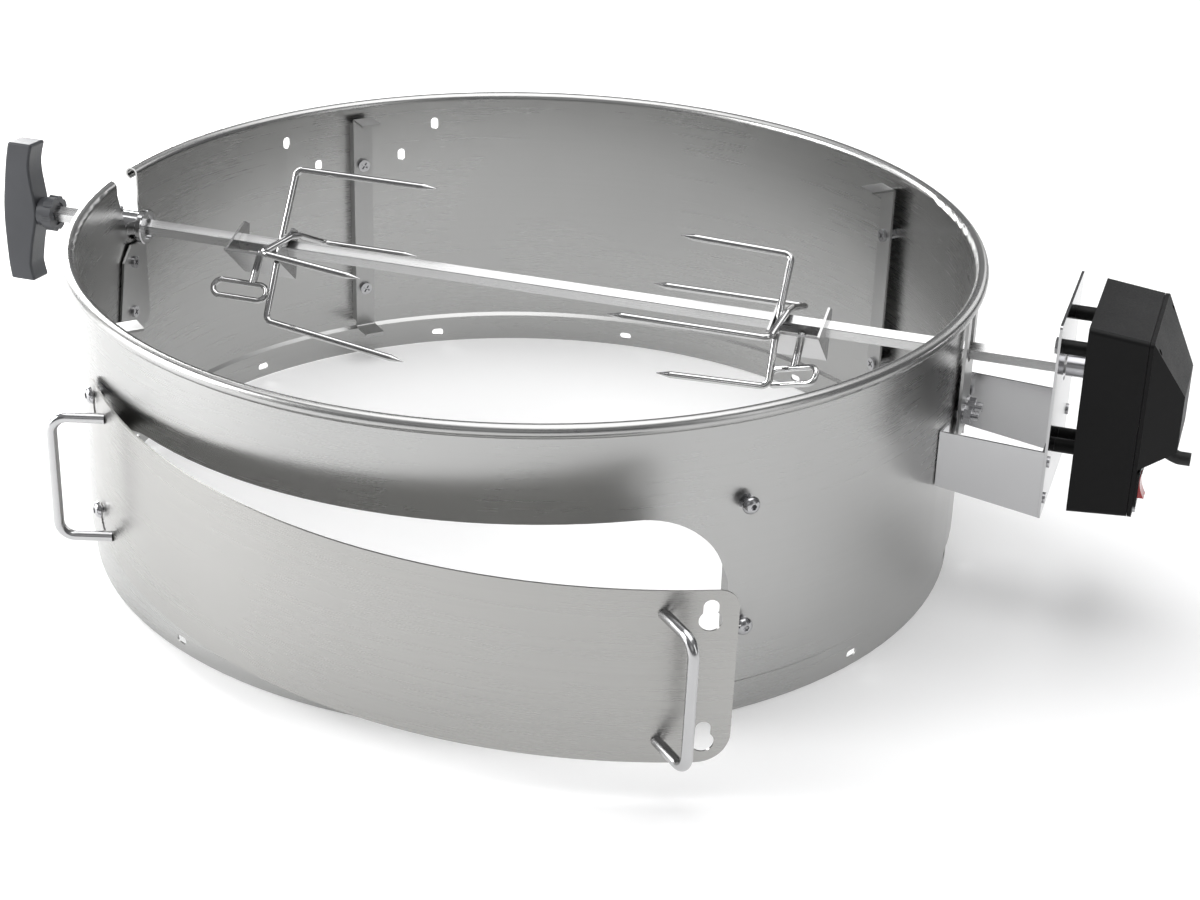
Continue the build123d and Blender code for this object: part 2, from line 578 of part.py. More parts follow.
def fork(side, xc, half, x_a, x_b, prongs_a, prongs_b, xs, turn, shift):
    sx = -1 if side == "left" else 1          # outward direction along the spit
    lo, hi = xc - half, xc + half
    x_in = xc - sx * half
    xa = x_in + sx * (1.5 + PRONG_R + 0.05)
    xb = x_in - sx * (PRONG_R + 0.05) if side == "left" else xa + sx * (2 * PRONG_R + 0.1)
    web = Plane(origin=(xs, nv(WEB_D, 0)[0], Z_SPIT + nv(WEB_D, 0)[1]), x_dir=(1, 0, 0), z_dir=(0, *WEB_N))
    with BuildPart() as bracket:
        for x in (lo, hi - 1.5):
            with BuildSketch(yz_plane(x)) as ps:
                Polygon(*[(a, b + Z_SPIT) for a, b in PLATE_PTS], align=None)
                fillet(ps.vertices(), radius=1.3)
            extrude(amount=1.5)
        with BuildSketch(yz_plane(lo)):
            n0, n1 = nv(WEB_D, 19.5), nv(WEB_D, -20.2)
            n2, n3 = nv(WEB_D - 1.5, -20.2), nv(WEB_D - 1.5, 19.5)
            Polygon(*[(a, b + Z_SPIT) for a, b in (n0, n1, n2, n3)], align=None)
        extrude(amount=hi - lo)
        # weld nut inside the web
        with BuildSketch(web.offset(-5.0)):
            with Locations((0, 0)):
                RegularPolygon(5.4, 6)
        extrude(amount=4.0)
        with BuildSketch(web.offset(-9)):
            Circle(SCREW_R + 0.06)
        extrude(amount=14, mode=Mode.SUBTRACT)
        with BuildSketch(spit_plane(lo - 1, SPIT_ROLL + 45)):
            Rectangle(SPIT_A + 0.16, SPIT_A + 0.16)
        extrude(amount=hi - lo + 2, mode=Mode.SUBTRACT)
        # hole in the web where the upright wire passes
        w0, w1 = riser_pts(prongs_a)
        with BuildSketch(Plane(origin=(xa, w0[0], w0[1] + Z_SPIT), z_dir=(0, w1[0] - w0[0], w1[1] - w0[1]))):
            Circle(PRONG_R + 0.12)
        extrude(amount=20, mode=Mode.SUBTRACT)
    finish(bracket, "fork_%s_bracket" % side)

    finish(pronged_wire(xa, x_a, *prongs_a), "fork_%s_upright_wire" % side)
    finish(pronged_wire(xb, x_b, *prongs_b), "fork_%s_level_wire" % side)

    with BuildPart() as screw:
        tip = Plane(origin=(xs, nv(5.6, 0)[0], Z_SPIT + nv(5.6, 0)[1]), x_dir=(1, 0, 0), z_dir=(0, *WEB_N))
        with BuildSketch(tip):
            Circle(SCREW_R)
        extrude(amount=22.4)
        c, t = math.cos(rad(turn)), math.sin(rad(turn))
        loop_plane = Plane(origin=(xs, 0, Z_SPIT), x_dir=(c, -WEB_V[0] * t, -WEB_V[1] * t),
                           z_dir=(-t, -WEB_V[0] * c, -WEB_V[1] * c))
        sgn = 1 if loop_plane.y_dir.Y * WEB_N[0] + loop_plane.y_dir.Z * WEB_N[1] > 0 else -1
        r0, r1, hl = 28.2 * sgn, 39.0 * sgn, 13.6
        rm, rr = (r0 + r1) / 2, 5.4
        with BuildLine(loop_plane) as lpath:
            Line((shift - hl, r0), (shift + hl, r0))
            ThreePointArc((shift + hl, r0), (shift + hl + rr, rm), (shift + hl, r1))
            Line((shift + hl, r1), (shift - hl, r1))
            ThreePointArc((shift - hl, r1), (shift - hl - rr, rm), (shift - hl, r0))
        with BuildSketch(Plane(origin=lpath.line @ 0, z_dir=lpath.line % 0)):
            Circle(1.95)
        sweep(path=lpath.line)
    finish(screw, "fork_%s_thumbscrew" % side)


fork("left", -183.8, 18.3, -71.0, -95.5,
     ((22.0, 47.1), (22.0, 47.1), (-33.0, -39.0), (-36.0, -50.0), -1),
     ((47.8, -12.8), (47.8, -12.8), (-48.0, 14.5), (-48.0, 8.0), -1), -185.0, 0, -7.5)
fork("right", 179.65, 16.55, 95.0, 69.5,
     ((19.5, 37.6), (19.5, 39.8), (-25.0, -33.6), (-25.0, -35.8), -1),
     ((50.2, -8.2), (50.2, -8.2), (-50.1, 9.8), (-50.1, 9.8), -1), 181.5, -33, 0)

# ---------------------------------------------------------------------------
# Motor mount: two bent arms, spit guide plate, mounting plate, fasteners
# ---------------------------------------------------------------------------
ARM_T = 1.5
FL_A = 6.6               # angles of the wall flange's two ends
FL_B = 9.4 
for name, sg in (("motor_arm_front", -1), ("motor_arm_rear", 1)):
    with BuildPart() as arm:
        with BuildSketch(Plane.XY.offset(70)):
            pa, pb = polar(R_OUT + 0.25, sg * FL_A), polar(R_OUT + 0.25, sg * FL_B)
            pa2, pb2 = polar(R_OUT + 0.25 + ARM_T, sg * FL_A), polar(R_OUT + 0.25 + ARM_T, sg * FL_B)
            Polygon(pa[:2], pb[:2], pb2[:2], pa2[:2], align=None)
            Polygon((pb[0], pb[1] - sg * 0.2), (pb[0], sg * (ARM_Y + ARM_T / 2)), (PLATE_X - 0.05, sg * (ARM_Y + ARM_T / 2)),
                    (PLATE_X - 0.05, sg * (ARM_Y - ARM_T / 2)), (pb2[0], sg * (ARM_Y - ARM_T / 2)), align=None)
            Polygon((PLATE_X - 0.05, sg * (ARM_Y + ARM_T / 2)), (PLATE_X - 0.05, sg * (ARM_Y - 13)),
                    (PLATE_X - 0.05 - ARM_T, sg * (ARM_Y - 13)), (PLATE_X - 0.05 - ARM_T, sg * (ARM_Y + ARM_T / 2)), align=None)
        extrude(amount=60)
        # tapered side outline: deep at the motor, shallower at the ring
        with BuildSketch(Plane.XZ.offset(-100)):
            Polygon((262, 60), (350, 60), (350, 78), (341.5, 78), (278.5, 88), (262, 88), align=None)
            Polygon((262, 140), (350, 140), (350, 121), (341.5, 121), (278.5, 124), (262, 124), align=None)
        extrude(amount=200, mode=Mode.SUBTRACT)
        for z in RIVET_Z:
            with BuildSketch(wall_plane(sg * RIVET_TH, z, R_OUT - 6)):
                Circle(2.1)
            extrude(amount=12, mode=Mode.SUBTRACT)
        for z in (88.0, 112.0):
            with BuildSketch(yz_plane(PLATE_X - 6)):
                with Locations((sg * 40.0, z)):
                    Circle(2.2)
            extrude(amount=10, mode=Mode.SUBTRACT)
    finish(arm, name)

with BuildPart() as wall_rivets:
    for sg in (1, -1):
        for z in RIVET_Z:
            with BuildSketch(wall_plane(sg * RIVET_TH, z, R_IN - 1.55)):
                Circle(3.6)
            extrude(amount=1.5)
            with BuildSketch(wall_plane(sg * RIVET_TH, z, R_IN - 0.2)):
                Circle(2.0)
            extrude(amount=4.6)
            with BuildSketch(wall_plane(sg * RIVET_TH, z, R_OUT + 0.25 + ARM_T + 0.02)):
                Circle(3.2)
            extrude(amount=1.4)
finish(wall_rivets, "arm_wall_rivets")

with BuildPart() as plate_rivets:
    for sg in (1, -1):
        for z in (88.0, 112.0):
            with BuildSketch(yz_plane(PLATE_X - ARM_T - 0.1 - 1.5)):
                with Locations((sg * 40.0, z)):
                    Circle(3.4)
            extrude(amount=1.5)
            with BuildSketch(yz_plane(PLATE_X - ARM_T - 0.3)):
                with Locations((sg * 40.0, z)):
                    Circle(2.0)
            extrude(amount=4.0)
            with BuildSketch(yz_plane(PLATE_X + PLATE_T + 0.02)):
                with Locations((sg * 40.0, z)):
                    Circle(3.4)
            extrude(amount=1.3)
finish(plate_rivets, "arm_plate_rivets")

STANDOFFS = ((28.0, 182.0), (-28.0, 182.0), (8.0, 109.0), (-8.0, 109.0))
with BuildPart() as mount_plate:
    with BuildSketch(yz_plane(PLATE_X)):
        with Locations((0, 139.5)):
            RectangleRounded(95, 125, 2)
        with Locations((0, Z_SPIT)):
            Circle(9.5, mode=Mode.SUBTRACT)
        with Locations(*STANDOFFS):
            Circle(2.7, mode=Mode.SUBTRACT)
        with Locations((40, 88), (-40, 88), (40, 112), (-40, 112)):
            Circle(2.2, mode=Mode.SUBTRACT)
    extrude(amount=PLATE_T)
finish(mount_plate, "motor_mount_plate")

with BuildPart() as standoffs:
    for y, z in STANDOFFS:
        with BuildSketch(yz_plane(PLATE_X + PLATE_T + 0.05)):
            with Locations((y, z)):
                Circle(4.4)
                Circle(2.7, mode=Mode.SUBTRACT)
        extrude(amount=HOUS_X0 - PLATE_X - PLATE_T - 0.1)
finish(standoffs, "motor_standoffs")

with BuildPart() as mount_bolts:
    for y, z in STANDOFFS:
        with BuildSketch(yz_plane(PLATE_X - 3.2)):
            with Locations((y, z)):
                RegularPolygon(5.0, 6)
        extrude(amount=3.15)
        with BuildSketch(yz_plane(PLATE_X - 0.3)):
            with Locations((y, z)):
                Circle(2.5)
        extrude(amount=24.0)
finish(mount_bolts, "motor_mount_bolts")

with BuildPart() as guide_plate:
    with BuildSketch(yz_plane(283.7)):
        with BuildLine():
            Line((-16, 184), (-16, 112))
            ThreePointArc((-16, 112), (-14.2, 106.5), (-9, 104))
            Line((-9, 104), (9, 104))
            ThreePointArc((9, 104), (14.2, 106.5), (16, 112))
            Polyline((16, 112), (16, 184), (-16, 184))
        make_face()
        with Locations((0, Z_SPIT + 20)):
            Rectangle(14.4, 40, mode=Mode.SUBTRACT)
        with Locations((0, Z_SPIT)):
            Circle(7.2, mode=Mode.SUBTRACT)
        with Locations((GUIDE_Y, GUIDE_Z), (-GUIDE_Y, GUIDE_Z)):
            Circle(3.1, mode=Mode.SUBTRACT)
    extrude(amount=1.8)
finish(guide_plate, "spit_guide_plate")

with BuildPart() as guide_bolts:
    for y in (GUIDE_Y, -GUIDE_Y):
        with BuildSketch(yz_plane(276.5)):
            with Locations((y, GUIDE_Z)):
                RegularPolygon(5.2, 6)
        extrude(amount=3.6)
        with BuildSketch(yz_plane(279.9)):
            with Locations((y, GUIDE_Z)):
                Circle(2.9)
        extrude(amount=15.6)
finish(guide_bolts, "guide_plate_bolts")

with BuildPart() as guide_nuts:
    for y in (GUIDE_Y, -GUIDE_Y):
        with BuildSketch(yz_plane(285.55)):
            with Locations((y, GUIDE_Z)):
                Circle(6.2)
        extrude(amount=1.2)
        with BuildSketch(yz_plane(286.7)):
            with Locations((y, GUIDE_Z)):
                RegularPolygon(5.4, 6)
        extrude(amount=4.4)
        with BuildSketch(yz_plane(285.3)):
            with Locations((y, GUIDE_Z)):
                Circle(3.0)
        extrude(amount=8, mode=Mode.SUBTRACT)
finish(guide_nuts, "guide_plate_nuts")

# ---------------------------------------------------------------------------
# Motor housing: tray-shaped rear half, hipped front cover
# ---------------------------------------------------------------------------
WALL = 2.6
ZC = (HOUS_Z0 + HOUS_Z1) / 2
HH = HOUS_Z1 - HOUS_Z0
FC = (FRONT_Z0 + FRONT_Z1) / 2
FH = FRONT_Z1 - FRONT_Z0
COVER_SCREWS = ((36.0, 89.4), (-36.0, 89.4), (36.0, 190.5), (-36.0, 190.5))
with BuildPart() as rear_housing:
    with BuildSketch(yz_plane(HOUS_X0)):
        with Locations((0, ZC)):
            RectangleRounded(2 * HOUS_Y, HH, 3.0)
    with BuildSketch(yz_plane(HOUS_X1)):
        with Locations((0, FC)):
            RectangleRounded(2 * FRONT_Y, FH, 3.0)
    loft()
    with BuildSketch(yz_plane(HOUS_X0 + WALL)):
        with Locations((0, ZC)):
            RectangleRounded(2 * HOUS_Y - 2 * WALL - 0.4, HH - 2 * WALL - 1.0, 1.2)
    with BuildSketch(yz_plane(HOUS_X1 + 0.01)):
        with Locations((0, FC)):
            RectangleRounded(2 * FRONT_Y - 2 * WALL, FH - 2 * WALL, 1.2)
    loft(mode=Mode.SUBTRACT)
    # screw bosses in the corners, bearing boss on the spit axis
    for y, z in COVER_SCREWS:
        with BuildSketch(yz_plane(HOUS_X0 + WALL - 0.5)):
            with Locations((y, z)):
                Circle(4.2)
        extrude(amount=HOUS_X1 - HOUS_X0 - WALL + 0.5)
        with BuildSketch(yz_plane(HOUS_X0 + 12)):
            with Locations((y, z)):
                Circle(1.6)
        extrude(amount=40, mode=Mode.SUBTRACT)
    with BuildSketch(yz_plane(HOUS_X0 - 1)):
        with Locations((0, Z_SPIT)):
            Circle(6.45)
        with Locations(*STANDOFFS):
            Circle(2.6)
    extrude(amount=6, mode=Mode.SUBTRACT)
finish(rear_housing, "motor_rear_housing")

# hip outlines in (Y, Z): base on the cover's face, tip rectangle further out
HIP_B = (-FRONT_Y, 116.0, FRONT_Y, FRONT_Z1)
HIP_T = (-25.0, 124.0, 25.0, 160.0)
SWITCH_Y, SWITCH_Z = -33.0, 103.5
GLAND_X = 407.0          # strain relief below the hip


def rect_pts(r, g=0.0):
    return ((r[0] + g, r[1] + g), (r[2] - g, r[1] + g), (r[2] - g, r[3] - g), (r[0] + g, r[3] - g))


with BuildPart() as front_cover:
    with BuildSketch(yz_plane(COVER_X0)):
        with Locations((0, FC)):
            RectangleRounded(2 * FRONT_Y, FH, 3.0)
    extrude(amount=COVER_XF - COVER_X0)
    with BuildSketch(yz_plane(COVER_XF)):
        Polygon(*rect_pts(HIP_B, 0.6), align=None)
    with BuildSketch(yz_plane(COVER_TIP)):
        Polygon(*rect_pts(HIP_T), align=None)
    loft()
    with BuildSketch(yz_plane(COVER_X0 - 0.5)):
        Polygon(*rect_pts(HIP_B, 4.4), align=None)
    with BuildSketch(yz_plane(COVER_TIP - 2.6)):
        Polygon(*rect_pts(HIP_T, 2.4), align=None)
    loft(mode=Mode.SUBTRACT)
    with BuildSketch(yz_plane(COVER_X0 - 1)):
        with Locations((SWITCH_Y, SWITCH_Z)):
            Rectangle(13.4, 19.4)
        with Locations(*COVER_SCREWS):
            Circle(1.9)
    extrude(amount=8, mode=Mode.SUBTRACT)
    with BuildSketch(Plane.XY.offset(108)):
        with Locations((GLAND_X, 0)):
            Circle(4.3)
    extrude(amount=22, mode=Mode.SUBTRACT)
finish(front_cover, "motor_front_cover")

with BuildPart() as cover_screws:
    for y, z in COVER_SCREWS:
        hx = COVER_XF if z < 116 else COVER_XF + 0.6
        with BuildSketch(yz_plane(HOUS_X0 + 14)):
            with Locations((y, z)):
                Circle(1.5)
        extrude(amount=hx + 0.2 - HOUS_X0 - 14)
        if z < 116:
            with BuildSketch(yz_plane(COVER_XF + 0.05)):
                with Locations((y, z)):
                    Circle(2.8)
            extrude(amount=1.6)
finish(cover_screws, "cover_screws")

with BuildPart() as gland:
    with BuildLine() as gpath:
        Line((GLAND_X, 0, 125.5), (GLAND_X, 0, 117.0))
        Spline((GLAND_X, 0, 117.0), (GLAND_X + 2.6, 0, 112.2), (GLAND_X + 8.0, 0, 109.8), (GLAND_X + 16.5, 0, 109.4),
               tangents=((0, 0, -1), (1, 0, 0)))
    with BuildSketch(Plane(origin=gpath.line @ 0, z_dir=gpath.line % 0)):
        Circle(4.1)
    sweep(path=gpath.line)
    with BuildSketch(Plane(origin=gpath.line @ 1, z_dir=-(gpath.line % 1))):
        Circle(2.2)
    extrude(amount=7.0, mode=Mode.SUBTRACT)
finish(gland, "cord_inlet_gland")

# ---------------------------------------------------------------------------
# Switch: frame, rocker on a pin
# ---------------------------------------------------------------------------
with BuildPart() as switch_frame:
    with BuildSketch(yz_plane(COVER_XF + 0.05)):
        with Locations((SWITCH_Y, SWITCH_Z)):
            RectangleRounded(16.0, 22.0, 1.2)
    extrude(amount=1.8)
    with BuildSketch(yz_plane(COVER_XF - 14)):
        with Locations((SWITCH_Y, SWITCH_Z)):
            Rectangle(13.0, 19.0)
    extrude(amount=14.2)
    with BuildSketch(yz_plane(COVER_XF - 7)):
        with Locations((SWITCH_Y, SWITCH_Z)):
            Rectangle(10.4, 16.4)
    extrude(amount=12, mode=Mode.SUBTRACT)
    with BuildSketch(Plane.XZ.offset(-SWITCH_Y - 6.6)):
        with Locations((COVER_XF - 0.6, SWITCH_Z)):
            Circle(1.25)
    extrude(amount=14, mode=Mode.SUBTRACT)
finish(switch_frame, "switch_frame")

with BuildPart() as rocker:
    with BuildSketch(Plane.XZ.offset(-SWITCH_Y)):
        with BuildLine():
            x0 = COVER_XF - 0.6
            Polyline((x0 - 3.4, SWITCH_Z - 4.2), (x0 - 1.8, SWITCH_Z - 7.0), (x0 + 6.2, SWITCH_Z - 6.6))
            ThreePointArc((x0 + 6.2, SWITCH_Z - 6.6), (x0 + 3.3, SWITCH_Z + 0.3), (x0 + 3.0, SWITCH_Z + 7.5))
            Polyline((x0 + 3.0, SWITCH_Z + 7.5), (x0 - 1.8, SWITCH_Z + 7.0), (x0 - 3.4, SWITCH_Z + 4.2), (x0 - 3.4, SWITCH_Z - 4.2))
        make_face()
    extrude(amount=4.7, both=True)
    with BuildSketch(Plane.XZ.offset(-SWITCH_Y)):
        with Locations((COVER_XF - 0.6, SWITCH_Z)):
            Circle(1.2)
    extrude(amount=6.2, both=True)
finish(rocker, "switch_rocker")

# ---------------------------------------------------------------------------
# Gear train: socket and output gear, compound idler, motor with pinion
# ---------------------------------------------------------------------------
MOD = 0.8
N_OUT, N_SMALL, N_BIG, N_PIN = 48, 14, 36, 14
IDLER_Z = Z_SPIT - MOD * (N_OUT + N_SMALL) / 2
MOTOR_Z = IDLER_Z - MOD * (N_BIG + N_PIN) / 2


def gear_pts(n, phase, backlash=0.16):
    """Tooth outline with involute flanks; phase is the angle of tooth zero's middle."""
    rp = MOD * n / 2
    ra = rp + 0.80 * MOD
    rr = rp - 1.10 * MOD
    rb = rp * math.cos(rad(20))
    half_p = math.pi / (2 * n) - backlash / rp

    def half(r):
        if r <= rb:
            r = rb
        al = math.acos(rb / r)
        al_p = rad(20)
        return half_p + (math.tan(al_p) - al_p) - (math.tan(al) - al)

    pts = []
    for k in range(n):
        c = rad(phase) + 2 * math.pi * k / n
        h_r, h_p, h_a = half(max(rb, rr)), half(rp), half(ra)
        for r, a in ((rr, -h_r), (rp, -h_p), (ra, -h_a), (ra, h_a), (rp, h_p), (rr, h_r)):
            pts.append((r * math.cos(c + a), r * math.sin(c + a)))
    return pts


def gear_face(n, phase, y, z, bore):
    with Locations((y, z)):
        Polygon(*gear_pts(n, phase), align=None)
        if bore:
            Circle(bore, mode=Mode.SUBTRACT)


# in mesh at rest: a tooth of one gear meets a gap of the next on the line of centres
PH_OUT = -90.0                                   # output gear: tooth pointing down at the idler
PH_SMALL = 90.0 + 180.0 / N_SMALL                # idler pinion: gap pointing up
PH_BIG = -90.0                                   # idler wheel: tooth pointing down at the motor
PH_PIN = 90.0 + 180.0 / N_PIN                    # motor pinion: gap pointing up

with BuildPart() as socket:
    with BuildSketch(spit_plane(PLATE_X + PLATE_T + 0.8)):
        Circle(6.4)
    extrude(amount=371.1 - PLATE_X - PLATE_T - 0.8)
    with BuildSketch(spit_plane(371.1)):
        Circle(3.95)
    extrude(amount=4.6)
    with BuildSketch(spit_plane(PLATE_X, SPIT_ROLL + 45)):
        Rectangle(SPIT_A + 0.5, SPIT_A + 0.5)
    extrude(amount=SPIT_X1 - PLATE_X + 0.8, mode=Mode.SUBTRACT)
finish(socket, "drive_socket")

with BuildPart() as output_gear:
    with BuildSketch(spit_plane(362.5)):
        Polygon(*gear_pts(N_OUT, PH_OUT), align=None)
        Circle(6.42, mode=Mode.SUBTRACT)
        with PolarLocations(12.2, 5):
            Circle(2.6, mode=Mode.SUBTRACT)
    extrude(amount=5.0)
finish(output_gear, "output_gear")

with BuildPart() as idler:
    with BuildSketch(yz_plane(362.1)):
        gear_face(N_SMALL, PH_SMALL, 0, IDLER_Z, 0)
    extrude(amount=6.2)
    with BuildSketch(yz_plane(368.3)):
        gear_face(N_BIG, PH_BIG, 0, IDLER_Z, 0)
    extrude(amount=3.0)
    with BuildSketch(yz_plane(360.5)):
        with Locations((0, IDLER_Z)):
            Circle(2.05)
    extrude(amount=20, mode=Mode.SUBTRACT)
finish(idler, "idler_gear")

with BuildPart() as idler_pin:
    with BuildSketch(yz_plane(HOUS_X0 + WALL + 0.05)):
        with Locations((0, IDLER_Z)):
            Circle(2.0)
    extrude(amount=372.5 + 2.2 - HOUS_X0 - WALL)
finish(idler_pin, "idler_pin")

with BuildPart() as gearbox_plate:
    with BuildSketch(yz_plane(372.5)):
        with Locations((0, 140)):
            RectangleRounded(60, 96, 6)
        with Locations((0, Z_SPIT)):
            Circle(4.0, mode=Mode.SUBTRACT)
        with Locations((0, IDLER_Z)):
            Circle(2.03, mode=Mode.SUBTRACT)
        with Locations((0, MOTOR_Z)):
            Circle(6.6, mode=Mode.SUBTRACT)
        with Locations((26, 96), (-26, 96), (27, 172), (-27, 172)):
            Circle(1.8, mode=Mode.SUBTRACT)
    extrude(amount=2.0)
finish(gearbox_plate, "gearbox_plate")

with BuildPart() as gearbox_posts:
    for y, z in ((26, 96), (-26, 96), (27, 172), (-27, 172)):
        with BuildSketch(yz_plane(HOUS_X0 + WALL + 0.05)):
            with Locations((y, z)):
                Circle(3.2)
        extrude(amount=372.5 - HOUS_X0 - WALL - 0.1)
        with BuildSketch(yz_plane(372.3)):
            with Locations((y, z)):
                Circle(1.7)
        extrude(amount=2.3)
        with BuildSketch(yz_plane(374.55)):
            with Locations((y, z)):
                Circle(3.0)
        extrude(amount=1.5)
finish(gearbox_posts, "gearbox_posts")

with BuildPart() as motor_can:
    with BuildSketch(yz_plane(374.6)):
        with Locations((0, MOTOR_Z)):
            Circle(15.5)
            Rectangle(24.6, 40, mode=Mode.INTERSECT)
            Circle(1.75, mode=Mode.SUBTRACT)
    extrude(amount=16.4)
    with BuildSketch(yz_plane(372.7)):
        with Locations((0, MOTOR_Z)):
            Circle(6.4)
            Circle(1.75, mode=Mode.SUBTRACT)
    extrude(amount=2.0)
finish(motor_can, "motor_can")

with BuildPart() as motor_pinion:
    with BuildSketch(yz_plane(368.1)):
        gear_face(N_PIN, PH_PIN, 0, MOTOR_Z, 0)
    extrude(amount=3.6)
    with BuildSketch(yz_plane(371.6)):
        with Locations((0, MOTOR_Z)):
            Circle(1.7)
    extrude(amount=17.0)
finish(motor_pinion, "motor_pinion")
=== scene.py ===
import json
import math

import bmesh
import bpy
from mathutils import Matrix, Vector


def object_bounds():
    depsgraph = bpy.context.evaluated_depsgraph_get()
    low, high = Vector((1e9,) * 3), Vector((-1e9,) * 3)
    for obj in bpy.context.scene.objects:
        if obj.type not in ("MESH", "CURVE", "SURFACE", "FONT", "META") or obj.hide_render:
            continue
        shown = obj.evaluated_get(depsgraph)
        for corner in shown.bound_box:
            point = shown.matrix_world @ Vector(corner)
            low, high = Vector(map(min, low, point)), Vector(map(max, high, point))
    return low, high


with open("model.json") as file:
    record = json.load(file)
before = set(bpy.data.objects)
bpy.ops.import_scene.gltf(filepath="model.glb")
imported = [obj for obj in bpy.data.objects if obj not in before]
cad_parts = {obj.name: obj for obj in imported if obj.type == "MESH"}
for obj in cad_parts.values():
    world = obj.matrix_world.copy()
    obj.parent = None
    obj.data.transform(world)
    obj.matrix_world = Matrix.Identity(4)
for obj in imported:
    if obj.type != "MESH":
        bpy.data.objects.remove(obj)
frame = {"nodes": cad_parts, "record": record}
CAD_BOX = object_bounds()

N = frame["nodes"]
rad = math.radians

# ---------------------------------------------------------------------------
# shared sizes, metres, row frame
# ---------------------------------------------------------------------------
Z_SPIT = 0.1586
TH_L, TH_R = -133.7, -45.2
R_DOOR = 0.346
S_DOOR = 0.4428


def rot(axis, deg):
    return Matrix.Rotation(rad(deg), 3, Vector(axis))


RAD_L = Vector((math.cos(rad(TH_L)), math.sin(rad(TH_L)), 0))
TAN_L = Vector((-RAD_L.y, RAD_L.x, 0))
DOOR_M = rot((0, 0, 1), -5.26) @ rot(RAD_L, -2.55) @ rot(TAN_L, 0.45)
DOOR_Z = DOOR_M @ Vector((0, 0, 1))
WEB_N = Vector((0, math.sin(rad(221.5)), math.cos(rad(221.5))))


# ---------------------------------------------------------------------------
# procedural materials
# ---------------------------------------------------------------------------
class Tree:
    def __init__(self, name):
        self.mat = bpy.data.materials.new(name)
        self.mat.use_nodes = True
        self.t = self.mat.node_tree
        self.t.nodes.clear()
        self.out = self.t.nodes.new("ShaderNodeOutputMaterial")
        self.bsdf = self.t.nodes.new("ShaderNodeBsdfPrincipled")
        self.t.links.new(self.bsdf.outputs[0], self.out.inputs[0])
        self.pos = self.t.nodes.new("ShaderNodeTexCoord").outputs["Object"]

    def link(self, a, b):
        self.t.links.new(a, b)

    def dot(self, v):
        n = self.t.nodes.new("ShaderNodeVectorMath")
        n.operation = "DOT_PRODUCT"
        self.link(self.pos, n.inputs[0])
        n.inputs[1].default_value = tuple(v)
        return n.outputs["Value"]

    def coords(self, a, b, c):
        """Noise coordinates from three directions, each already scaled."""
        n = self.t.nodes.new("ShaderNodeCombineXYZ")
        for i, v in enumerate((a, b, c)):
            self.link(self.dot(v), n.inputs[i])
        return n.outputs[0]

    def noise(self, vec, scale=1.0, detail=4.0, rough=0.55, dist=0.0):
        n = self.t.nodes.new("ShaderNodeTexNoise")
        n.inputs["Scale"].default_value = scale
        n.inputs["Detail"].default_value = detail
        n.inputs["Roughness"].default_value = rough
        n.inputs["Distortion"].default_value = dist
        self.link(vec, n.inputs["Vector"])
        return n.outputs["Fac"]

    def remap(self, fac, lo, hi, a=0.3, b=0.7):
        n = self.t.nodes.new("ShaderNodeMapRange")
        n.inputs["From Min"].default_value = a
        n.inputs["From Max"].default_value = b
        n.inputs["To Min"].default_value = lo
        n.inputs["To Max"].default_value = hi
        self.link(fac, n.inputs["Value"])
        return n.outputs[0]

    def math(self, op, a, b):
        n = self.t.nodes.new("ShaderNodeMath")
        n.operation = op
        for i, v in enumerate((a, b)):
            if isinstance(v, (int, float)):
                n.inputs[i].default_value = v
            else:
                self.link(v, n.inputs[i])
        return n.outputs[0]

    def ramp(self, fac, c0, c1, p0=0.3, p1=0.7):
        n = self.t.nodes.new("ShaderNodeValToRGB")
        n.color_ramp.elements[0].position = p0
        n.color_ramp.elements[0].color = (*c0, 1)
        n.color_ramp.elements[1].position = p1
        n.color_ramp.elements[1].color = (*c1, 1)
        self.link(fac, n.inputs[0])
        return n.outputs[0]

    def bump(self, height, strength, distance, normal=None):
        n = self.t.nodes.new("ShaderNodeBump")
        n.inputs["Strength"].default_value = strength
        n.inputs["Distance"].default_value = distance
        self.link(height, n.inputs["Height"])
        if normal is not None:
            self.link(normal, n.inputs["Normal"])
        return n.outputs[0]

    def set(self, **k):
        for a, v in k.items():
            self.bsdf.inputs[a.replace("_", " ")].default_value = v


def shade(c, f):
    return tuple(max(0.0, min(1.0, x * f)) for x in c)


def brushed(name, color, rough, along, across, aniso=0.6, fine=900.0, contrast=0.02, bump=0.005, tangent="Z"):
    """Brushed steel: long streaks along one direction, finer ones within them, faint handling marks."""
    t = Tree(name)
    al, ac = Vector(along).normalized(), Vector(across).normalized()
    th = al.cross(ac).normalized()
    streak = t.noise(t.coords(al * 3.0, ac * fine * 0.35, th * 3.0), detail=5, rough=0.65)
    hair = t.noise(t.coords(al * 9.0, ac * fine * 1.6, th * 9.0), detail=3, rough=0.6)
    marks = t.noise(t.pos, scale=7.0, detail=5, rough=0.6, dist=0.4)
    both = t.math("ADD", t.math("MULTIPLY", streak, 0.55), t.math("MULTIPLY", hair, 0.45))
    t.link(t.ramp(both, shade(color, 1 - contrast), shade(color, 1 + contrast * 0.8)), t.bsdf.inputs["Base Color"])
    r = t.math("ADD", t.remap(both, rough - 0.015, rough + 0.02), t.remap(marks, -0.015, 0.02))
    t.link(r, t.bsdf.inputs["Roughness"])
    t.set(Metallic=1.0, Anisotropic=aniso)
    if tangent:
        g = t.t.nodes.new("ShaderNodeTangent")
        g.direction_type = "RADIAL"
        g.axis = tangent
        t.link(g.outputs[0], t.bsdf.inputs["Tangent"])
    t.link(t.bump(both, bump, 0.0004), t.bsdf.inputs["Normal"])
    return t.mat


